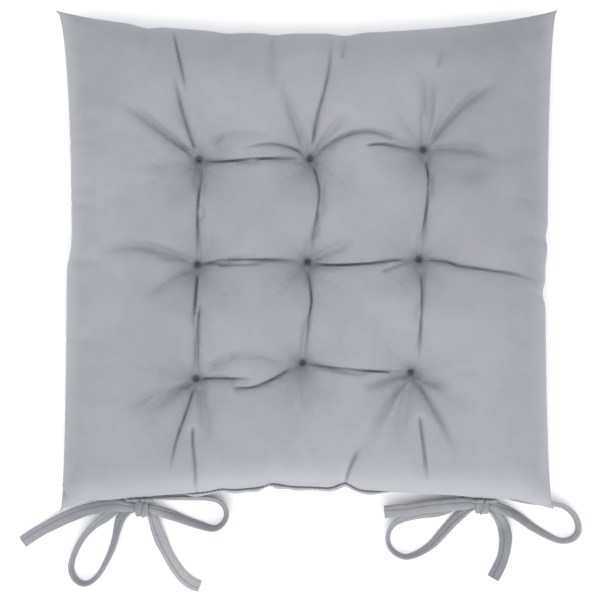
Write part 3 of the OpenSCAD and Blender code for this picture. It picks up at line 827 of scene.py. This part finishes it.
def run_cloth(vertices, faces, top_index, bottom_index, edge):
    """Where the cloth's points settle, its edge and tufts held and the filling pressing out from inside."""
    mesh = bpy.data.meshes.new("cloth")
    mesh.from_pydata(vertices.tolist(), [], faces)
    cloth = bpy.data.objects.new("cloth", mesh)
    scene = bpy.context.scene
    scene.collection.objects.link(cloth)
    held = cloth.vertex_groups.new(name="held")
    held.add(top_index[edge].tolist(), 1.0, "REPLACE")
    for column, row in TUFTS:
        i = int(round((column * TUFT_U + 1) / 2 * CLOTH_N))
        j = int(round((row * TUFT_V + 1) / 2 * CLOTH_N))
        held.add([int(top_index[j, i]), int(bottom_index[j, i])], 1.0, "REPLACE")
    tight = cloth.vertex_groups.new(name="tight")
    tight.add(bottom_index[~edge].tolist(), 1.0, "REPLACE")
    modifier = cloth.modifiers.new("cloth", "CLOTH")
    settings = modifier.settings
    settings.quality = 6
    settings.mass = 0.001
    settings.air_damping = 1.0
    settings.tension_stiffness = settings.compression_stiffness = 15
    settings.shear_stiffness = 5
    settings.bending_stiffness = 0.8
    settings.tension_damping = settings.compression_damping = settings.shear_damping = 10
    settings.bending_damping = 1
    settings.use_pressure = True
    settings.uniform_pressure_force = 60
    settings.vertex_group_mass = "held"
    settings.vertex_group_shrink = "tight"
    settings.shrink_min = -0.03
    settings.shrink_max = -0.01
    settings.effector_weights.gravity = 0
    modifier.collision_settings.use_collision = False
    modifier.point_cache.frame_start = 1
    modifier.point_cache.frame_end = CLOTH_FRAMES
    for number in range(1, CLOTH_FRAMES + 1):
        scene.frame_set(number)
    settled = cloth.evaluated_get(bpy.context.evaluated_depsgraph_get()).data
    out = np.empty(len(settled.vertices) * 3, dtype=np.float32)
    settled.vertices.foreach_get("co", out)
    bpy.data.objects.remove(cloth)
    scene.frame_set(1)
    move = out.reshape(-1, 3).astype(float) - vertices
    size = np.linalg.norm(move, axis=1, keepdims=True)
    return vertices + move * np.minimum(1, FURTHEST_MOVE * MM / np.maximum(size, 1e-9))


def cubic_matrix(old, new):
    """Catmull-Rom weights that resample a line of old samples to new ones."""
    t = np.linspace(0, old - 1, new)
    i = np.minimum(t.astype(int), old - 2)
    f = t - i
    weights = np.zeros((new, old))
    terms = [
        (-1, -0.5 * f + f**2 - 0.5 * f**3), (0, 1 - 2.5 * f**2 + 1.5 * f**3),
        (1, 0.5 * f + 2 * f**2 - 1.5 * f**3), (2, -0.5 * f**2 + 0.5 * f**3),
    ]
    rows = np.arange(new)
    for step, weight in terms:
        k = i + step
        below, above = k < 0, k > old - 1
        inside = ~(below | above)
        np.add.at(weights, (rows[inside], k[inside]), weight[inside])
        # beyond an end the line runs on straight
        np.add.at(weights, (rows[below], np.zeros(below.sum(), int)), 2 * weight[below])
        np.add.at(weights, (rows[below], np.ones(below.sum(), int)), -weight[below])
        np.add.at(weights, (rows[above], np.full(above.sum(), old - 1)), 2 * weight[above])
        np.add.at(weights, (rows[above], np.full(above.sum(), old - 2)), -weight[above])
    return weights


def resample(grid, new):
    w = cubic_matrix(grid.shape[0], new)
    return np.einsum("aj,jic,bi->abc", w, grid, w)


def grid_normals(grid):
    across = np.gradient(grid, axis=1)
    along = np.gradient(grid, axis=0)
    return unit(np.cross(across, along))


def press_folds(grid):
    """Presses the folds into the settled panel: thin at a tuft, wider and softer as they run out."""
    out = grid.copy()
    normals = grid_normals(grid)
    x, y = grid[..., 0], grid[..., 1]
    sink, raised, strongest, pull_x, pull_y, pressed = (np.zeros_like(x) for _ in range(6))
    jobs = [(sharp, deep, spline_line(points)) for sharp, deep, points in FOLDS]
    for place, angle, length, deep in PUCKERS:
        jobs.append((0.05, 0.5 * deep, spline_line(pucker_line(place, angle, length))))
    for sharp, deep, line in jobs:
        area = near_line_mask(x, y, line, FOLD_REACH)
        d, px, py, share = nearest_on_line(x[area], y[area], line)
        fade = taper(share)
        narrow = 1.0 + (1 - sharp) * (0.4 + 3.6 * share)
        depth = deep * (0.58 - 0.06 * (1 - sharp)) * fade
        sink[area] = np.maximum(sink[area], depth * bell(d, narrow))
        # the cloth stands up in a low roll on the front side of a fold, where it is pushed over
        front = 0.65 + 0.35 * np.tanh(((y[area] - py) + 0.4 * (px - x[area])) / 1.5)
        roll = 0.42 * depth * front * bell(d - 2.4 * narrow, 1.7 * narrow)
        raised[area] = np.maximum(raised[area], roll)
        draw = 0.4 * sharp * fade * bell(d, 4.5)
        stronger = draw > strongest[area]
        strongest[area] = np.where(stronger, draw, strongest[area])
        pull_x[area] = np.where(stronger, draw * (px - x[area]), pull_x[area])
        pull_y[area] = np.where(stronger, draw * (py - y[area]), pull_y[area])
        # painted shade along the line of each sharp fold
        pressed[area] = np.maximum(pressed[area], 0.5 * sharp * fade * bell(d, 0.95))
    out[..., 0] += pull_x
    out[..., 1] += pull_y
    clear = bell(sink, 0.35)  # a roll gives way where another fold is pressed in
    out += normals * (raised * clear - sink)[..., None]
    return out, pressed


def lumps(x, y, seed, pitch):
    """Gentle unevenness of the filling, of about unit size."""
    r = np.random.default_rng(seed)
    total = np.zeros_like(x)
    for _ in range(14):
        a = r.uniform(0, 2 * math.pi)
        k = 2 * math.pi / (pitch * r.uniform(0.7, 1.6))
        total += np.sin((x * math.cos(a) + y * math.sin(a)) * k + r.uniform(0, 2 * math.pi))
    return total / 3.7


# ---------------------------------------------------------------- the two panels
TOP_N, BOTTOM_N = 306, 170
REST_Z = 0.15
# Each panel keeps this far on its own side of the seam
SEAM_CLEARANCE = 0.35
# Rings of the allowance turned in between the panels: how far in from the edge, and how far from the seam
ALLOWANCE_RINGS = ((0.8, 0.10), (3.0, 0.12), (8.0, 0.15))


def calmed(grid):
    """The small ripples of the settled cloth, evened out away from the tufts."""
    smooth = grid.copy()
    for _ in range(5):
        smooth[1:-1, 1:-1] = 0.5 * smooth[1:-1, 1:-1] + 0.125 * (
            smooth[:-2, 1:-1] + smooth[2:, 1:-1] + smooth[1:-1, :-2] + smooth[1:-1, 2:]
        )
    share = np.clip((tuft_distance(grid[..., 0], grid[..., 1]) - 22) / 34, 0, 0.9)[..., None]
    return grid * (1 - share) + smooth * share


def shaped_top(grid):
    """The top panel, and at each point its painted shade in the folds and round the tufts, with its darker
    patches, and its painted light along the edges.
    """
    fine = resample(calmed(grid), TOP_N)
    fine[..., 2] = np.maximum(fine[..., 2], SEAM_Z + SEAM_CLEARANCE)
    inner = np.clip((fine[..., 2] - SEAM_Z) / 12, 0, 1)
    fine[..., 2] += 0.35 * lumps(fine[..., 0], fine[..., 1], 3, 34) * inner
    fine, pressed = press_folds(fine)
    x, y = fine[..., 0], fine[..., 1]
    near_tuft = tuft_distance(x, y)
    hole = bell(near_tuft, 2.4)
    fine[..., 2] -= 2.2 * hole
    shade = 0.26 * bell(near_tuft, 7) + 0.24 * bell(tuft_distance(x, y + 7), 10)
    # painted shade in each tuft's hollow, round it and behind it
    pressed = np.maximum(pressed, 0.98 * hole + shade)
    # darker over the right side panel, with a smudge on it, and at the rear left
    pressed += 0.11 / ((1 + np.exp(-(x - 112) / 9)) * (1 + np.exp(-(y + 60) / 25)))
    pressed += 0.08 / ((1 + np.exp((x + 105) / 9)) * (1 + np.exp((y + 90) / 15)))
    pressed += 0.14 * np.exp(-((((x - 133) - 0.8 * (y - 64)) / 12) ** 2 + ((y - 64) / 9) ** 2))
    # painted light along the rear edge and, more thinly, down the two sides
    painted_light = 0.9 * bell(y - y[:1], 17)
    for edge_x in (x[:, :1], x[:, -1:]):
        painted_light = np.maximum(painted_light, 0.5 * bell(x - edge_x, 8))
    return fine, np.clip(pressed, 0, 1), painted_light


def shaped_bottom(grid):
    """The underside, flattened on what it lies on, and the painted shade in its tuft hollows."""
    fine = resample(grid, BOTTOM_N)
    fine[..., 2] = np.minimum(fine[..., 2], SEAM_Z - SEAM_CLEARANCE)
    fine[..., 2] = REST_Z + 1.6 * np.logaddexp(0, (fine[..., 2] - 1.2) / 1.6)
    fine[..., 2] = np.minimum(fine[..., 2], SEAM_Z - SEAM_CLEARANCE)
    # painted shade in the hollow of each tuft underneath
    return fine, 0.9 * bell(tuft_distance(fine[..., 0], fine[..., 1]), 2.6)


def panel_piece(name, grid, side, material, pressed):
    """A panel and, past its edge, the allowance turned in between the two panels."""
    n = grid.shape[0]
    flip = side < 0
    faces = grid_faces(n, 0, flip)
    vertices = [grid.reshape(-1, 3)]
    for inward, lift in ALLOWANCE_RINGS:
        ring = border(grid)
        ring[:, :2] *= 1 - inward / HALF
        ring[:, 2] -= side * (SEAM_CLEARANCE - lift)
        vertices.append(ring)
    last, start = border(np.arange(n * n).reshape(n, n)), n * n
    m = len(last)
    for _ in ALLOWANCE_RINGS:
        fresh = np.arange(start, start + m)
        for k in range(m):
            quad = (last[k], fresh[k], fresh[(k + 1) % m], last[(k + 1) % m])
            faces.append(tuple(int(q) for q in (quad[::-1] if flip else quad)))
        last, start = fresh, start + m
    piece = new_piece(name, np.concatenate(vertices) * MM, faces, "pad", material)
    rim = np.zeros(m * len(ALLOWANCE_RINGS))
    point_layer(piece, "pressed", np.concatenate([pressed.ravel(), rim]))
    return piece, rim


top_grid, bottom_grid = simulate_pad()
fine_top, top_pressed, top_painted_light = shaped_top(top_grid)
fine_bottom, bottom_pressed = shaped_bottom(bottom_grid)

top_panel, top_rim = panel_piece("velvet_top_panel", fine_top, 1, cover_velvet, top_pressed)
# painted light along the top panel's rear edge and sides
point_layer(top_panel, "painted_light", np.concatenate([top_painted_light.ravel(), top_rim]))
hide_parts("top_cover_panel")
bottom_panel, _ = panel_piece(
    "velvet_bottom_panel", fine_bottom, -1, under_velvet, bottom_pressed
)
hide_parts("bottom_cover_panel")


# ---------------------------------------------------------------- filling
FILL_GAP = 1.6
FILL_N = 77


def lowest_near(grid, picks, reach, side):
    """The grid at some rows and columns, each point as deep as its deepest neighbour within reach."""
    out = grid[np.ix_(picks, picks)].copy()
    last = grid.shape[0] - 1
    for dj in range(-reach, reach + 1, 2):
        for di in range(-reach, reach + 1, 2):
            near = grid[np.ix_(np.clip(picks + dj, 0, last), np.clip(picks + di, 0, last))][..., 2]
            out[..., 2] = np.minimum(out[..., 2], near) if side > 0 else np.maximum(out[..., 2], near)
    return out


def fill_piece():
    """Wadding inside both panels: it keeps below every fold of the top and above the underside."""
    m = FILL_N
    top = lowest_near(fine_top, np.linspace(12, TOP_N - 13, m).round().astype(int), 4, 1)
    bottom = lowest_near(fine_bottom, np.linspace(7, BOTTOM_N - 8, m).round().astype(int), 2, -1)
    bottom[..., :2] = top[..., :2]
    top[..., 2] -= FILL_GAP + 0.5 + 0.5 * lumps(top[..., 0], top[..., 1], 5, 16)
    bottom[..., 2] += FILL_GAP + 0.3 * lumps(top[..., 0], top[..., 1], 6, 16)
    top[..., 2] = np.maximum(top[..., 2], bottom[..., 2] + 1.2)
    faces = grid_faces(m) + grid_faces(m, m * m, True)
    order = border(np.arange(m * m).reshape(m, m)).tolist()
    for a, b in zip(order, order[1:] + order[:1]):
        faces.append((a, m * m + a, m * m + b, b))
    vertices = np.concatenate([top.reshape(-1, 3), bottom.reshape(-1, 3)]) * MM
    piece = new_piece("fibre_filling", vertices, faces, "pad", wadding)
    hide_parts("fibre_fill")


fill_piece()


# ---------------------------------------------------------------- tuft threads
def grid_place(grid, tx, ty):
    k = np.argmin(np.hypot(grid[..., 0] - tx, grid[..., 1] - ty))
    return grid.reshape(-1, 3)[k]


def twisted_pair(a, b, radius, turns, rings=14):
    """Two plies laid round each other from a to b, as vertices and faces."""
    sides = 7
    side, up, ring = ring_across(unit(b - a), [0.1, 0.2, 1.0], [1.0, 0.1, 0], sides)
    plies = []
    for ply in (0, math.pi):
        vertices = []
        for k in range(rings):
            t = k / (rings - 1)
            turn = ply + 2 * math.pi * turns * t
            centre = a + (b - a) * t + 0.5 * radius * (math.cos(turn) * side + math.sin(turn) * up)
            size = 0.56 * radius * (0.5 if k in (0, rings - 1) else 1)
            vertices.append(centre + size * ring)
        plies.append((np.concatenate(vertices), tube_faces(rings, sides)))
    return joined(plies)


def thread_loop(top, bottom, turn):
    """A tuft's two turns of thread, from the hollow down through the pad, and the knot underneath."""
    reach = 1.9
    parts = []
    for k, offset in enumerate((-0.42, 0.42)):
        a = turn + k * 0.25
        step = np.array([math.cos(a), math.sin(a), 0]) * reach
        across = np.array([-math.sin(a), math.cos(a), 0]) * offset
        centre = top + [0, 0, 0.75] + across
        parts.append(twisted_pair(centre - step, centre + step, 0.42, 2.5))
        for end in (-1, 1):
            foot = bottom - [0, 0, 0.3] + across + end * step * 0.75
            parts.append(twisted_pair(centre + end * step, foot, 0.4, 4, rings=20))
    centre = bottom - [0, 0, 0.6]
    for k in range(4):
        a = turn + k * 0.8
        step = np.array([math.cos(a), math.sin(a), 0.15 * (k - 1.5)]) * 1.7
        parts.append(twisted_pair(centre - step, centre + step, 0.5, 2))
    for k in (-1, 1):
        parts.append(twisted_pair(centre, centre + np.array([k * 3.5, 2.5 + k, -1.2]), 0.36, 3))
    return joined(parts)


def tuft_pieces():
    rows = {-1: "rear", 0: "middle", 1: "front"}
    columns = {-1: "left", 0: "centre", 1: "right"}
    for (column, row), (tx, ty) in TUFTS.items():
        name = f"tuft_thread_{rows[row]}_{columns[column]}"
        turn = np.random.default_rng(50 + 3 * row + column).uniform(-0.5, 0.5)
        vertices, faces = thread_loop(grid_place(fine_top, tx, ty), grid_place(fine_bottom, tx, ty), turn)
        piece = new_piece(name + "_loop", vertices * MM, faces, "pad", thread)
        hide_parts(name)


tuft_pieces()


# ---------------------------------------------------------------- edge seam and closing seam
SEAM_INSET = 4
SEAM_STITCH = 3.0
LIP_FROM, LIP_TO = -97, 67
LIP_STATIONS = 400
LIP_STITCH = 3.2
# The lip's section: out from the edge and up from the seam
LIP_SECTION = [
    (-2.6, 0.55), (-1.4, 0.85), (0, 1.0), (1.3, 1.05), (2.3, 0.8), (2.75, 0.3),
    (2.75, -0.4), (2.3, -0.9), (1.2, -1.15), (0, -1.1), (-1.4, -0.95), (-2.6, -0.6),
]
# The heights of its two rows of stitches, above and below the lip
LIP_STITCH_HEIGHTS = (0.72, -2.15)


def edge_seam_piece():
    """The lockstitch of the edge seam, 4 mm inside the edge between the two panels' allowances."""
    ring = border(fine_top) * [1 - SEAM_INSET / HALF, 1 - SEAM_INSET / HALF, 0] + [0, 0, SEAM_Z]
    ring = np.vstack([ring, ring[:1]])
    run = run_along(ring)
    ends = np.linspace(0, run[-1], int(run[-1] / SEAM_STITCH) + 1)
    line = np.column_stack([np.interp(ends, run, ring[:, k]) for k in range(3)]) * MM
    piece = stitches_piece("edge_seam_stitches", zip(line, line[1:]), 0.24 * MM, 5, "pad", thread)
    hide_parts("edge_seam_thread")


def lip_pieces():
    """The lip of the turning gap's hand-closed seam in the rear edge, and its stitches."""
    edge = fine_top[0]
    path = edge[(edge[:, 0] > LIP_FROM) & (edge[:, 0] < LIP_TO)]
    share, ends = np.linspace(0, 1, LIP_STATIONS), np.linspace(0, 1, len(path))
    path = np.column_stack([np.interp(share, ends, path[:, k]) for k in range(3)])
    along = unit(np.gradient(path, axis=0) * [1, 1, 0])
    outward = np.column_stack([along[:, 1], -along[:, 0], np.zeros(LIP_STATIONS)])
    wave = smooth_noise(LIP_STATIONS, 22, 11)
    station = np.arange(LIP_STATIONS)
    fade = np.clip(np.minimum(station, station[::-1]) / 26, 0, 1) ** 0.6
    length = LIP_TO - LIP_FROM
    vertices = []
    for k, p in enumerate(path):
        pucker = 0.10 * math.sin(2 * math.pi * k / LIP_STATIONS * length / LIP_STITCH)
        for out, up in LIP_SECTION:
            reach = out if out < 0 else out * fade[k]
            place = p + outward[k] * (reach + 0.75 * wave[k] * (out > 0) * fade[k])
            droop = -0.45 * max(0, out)
            rise = -SEAM_CLEARANCE + up * (1 + pucker) * (0.5 + 0.5 * fade[k]) + droop
            vertices.append(place + np.array([0, 0, rise]))
    faces = tube_faces(LIP_STATIONS, len(LIP_SECTION))
    lip = new_piece("closing_seam_lip", np.array(vertices) * MM, faces, "pad", cover_velvet)
    # painted shade on the lip's inner side along the seam, and painted light on its outer roll
    point_layer(lip, "pressed", [0.9 if out < 0.5 else 0.0 for out, _ in LIP_SECTION] * LIP_STATIONS)
    point_layer(lip, "painted_light", [0.8 if out > 1 else 0.0 for out, _ in LIP_SECTION] * LIP_STATIONS)

    segments = []
    count = int(length / LIP_STITCH)
    for s in range(count):
        stations = [int((s + part) / count * (LIP_STATIONS - 1)) for part in (0.15, 0.8)]
        for up in LIP_STITCH_HEIGHTS:
            a, b = (
                path[k] + outward[k] * (2.4 * fade[k] - 1.6) + np.array([0, 0, up - SEAM_CLEARANCE])
                for k in stations
            )
            segments.append((a * MM, b * MM))
    stitches = stitches_piece("closing_seam_stitches", segments, 0.26 * MM, 6, "pad", thread)
    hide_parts("closing_stitches")


edge_seam_piece()
lip_pieces()
for side in ("left", "right"):
    ends = frame["nodes"][f"{side}_tie_sewn_ends"].data.materials
    ends.clear()
    ends.append(strap_velvet)


# ---------------------------------------------------------------- floor and light
FLOOR_HALF = 4
FLOOR_Z = -0.0004
KEY_PLACE = Vector((-0.1, -1.5, 2.3))
KEY_TARGET = Vector((0, 0, 0.03))
KEY_SIZE = 2.8
KEY_POWER = 46


def add_floor():
    mesh = bpy.data.meshes.new("floor")
    corners = [(x * FLOOR_HALF, y * FLOOR_HALF, FLOOR_Z) for x, y in ((-1, -1), (1, -1), (1, 1), (-1, 1))]
    mesh.from_pydata(corners, [], [(0, 1, 2, 3)])
    material, _, shader, _ = node_material("floor")
    set_inputs(shader, Base_Color=(0.95, 0.95, 0.955, 1), Roughness=0.9, Specular_IOR_Level=0.1)
    mesh.materials.append(material)
    floor = bpy.data.objects.new("floor", mesh)
    bpy.context.scene.collection.objects.link(floor)


def add_key_light():
    data = bpy.data.lights.new("key", "AREA")
    data.energy = KEY_POWER
    data.shape = "SQUARE"
    data.size = KEY_SIZE
    light = bpy.data.objects.new("key", data)
    light.location = KEY_PLACE
    light.rotation_euler = (KEY_TARGET - KEY_PLACE).to_track_quat("-Z", "Y").to_euler()
    bpy.context.scene.collection.objects.link(light)


def add_world():
    world = bpy.data.worlds.new("studio")
    bpy.context.scene.world = world
    world.use_nodes = True
    set_inputs(world.node_tree.nodes["Background"], Color=(0.98, 0.985, 1.0, 1), Strength=1.15)


add_floor()
add_key_light()
add_world()
bpy.context.scene.view_settings.view_transform = "Standard"
